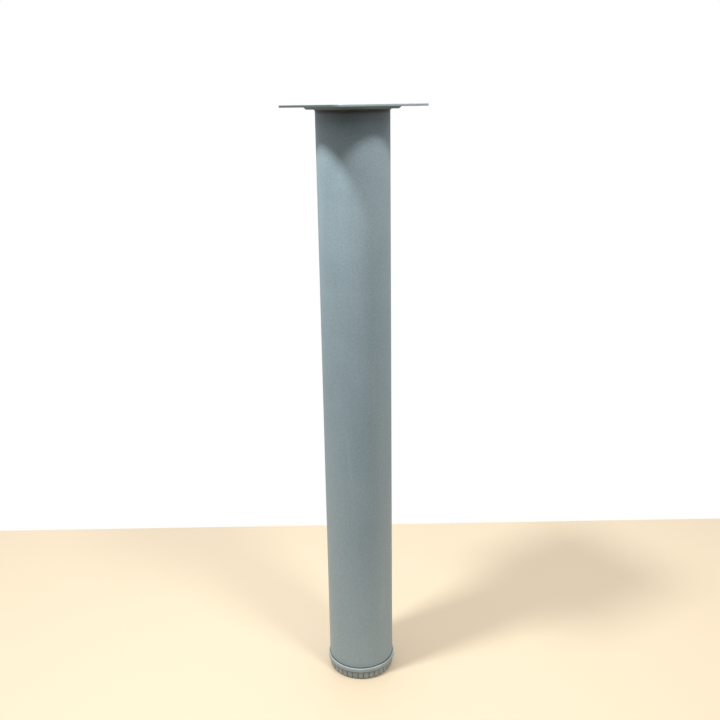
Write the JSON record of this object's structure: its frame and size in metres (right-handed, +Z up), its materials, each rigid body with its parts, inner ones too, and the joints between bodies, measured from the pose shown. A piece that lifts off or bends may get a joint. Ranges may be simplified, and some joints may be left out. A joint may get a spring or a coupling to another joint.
{
  "type": "table leg",
  "caption": "Round steel table leg with a square mounting plate on top and a ribbed screw-in leveling foot below.",
  "frame": {"origin": "centre of the glide pad's underside, on the floor, with the foot screwed fully in", "axes": "+Z up along the tube's axis; X and Y along the mounting plate's edges"},
  "size_m": [0.12, 0.12, 0.69],
  "materials": {
    "powder_coat": "matte aluminium-grey powder coat",
    "grey_plastic": "moulded, satin",
    "black_plastic": "moulded, satin",
    "zinc_plate": "bright zinc plated steel",
    "spring_steel": "blackened spring steel",
    "pad_rubber": "dull, non-marking"
  },
  "bodies": {
    "leg": {"mounting_plate": "powder_coat", "plate_weld": "powder_coat", "leg_tube": "powder_coat", "tube_insert": "black_plastic", "insert_nut": "zinc_plate", "nut_retainer": "spring_steel"},
    "glide": {"glide_pad": "pad_rubber", "pad_carrier": "black_plastic"},
    "foot": {"foot_grip": "grey_plastic", "leveling_stud": "zinc_plate", "stud_circlip": "spring_steel", "stud_washer": "zinc_plate", "stud_lock_nut": "zinc_plate"}
  },
  "joints": [
    {"name": "foot_extend", "type": "slide", "parent": "leg", "child": "glide", "axis": [0, 0, -1], "range_m": [0, 0.02]},
    {"name": "foot_screw", "type": "hinge", "parent": "glide", "child": "foot", "pos_m": [0, 0, 0], "axis": [0, 0, -1], "range_deg": [0, 4799.9]}
  ],
  "couplings": [
    {"joint": "foot_extend", "follows": "foot_screw", "m_per_rad": 0.00023873}
  ]
}
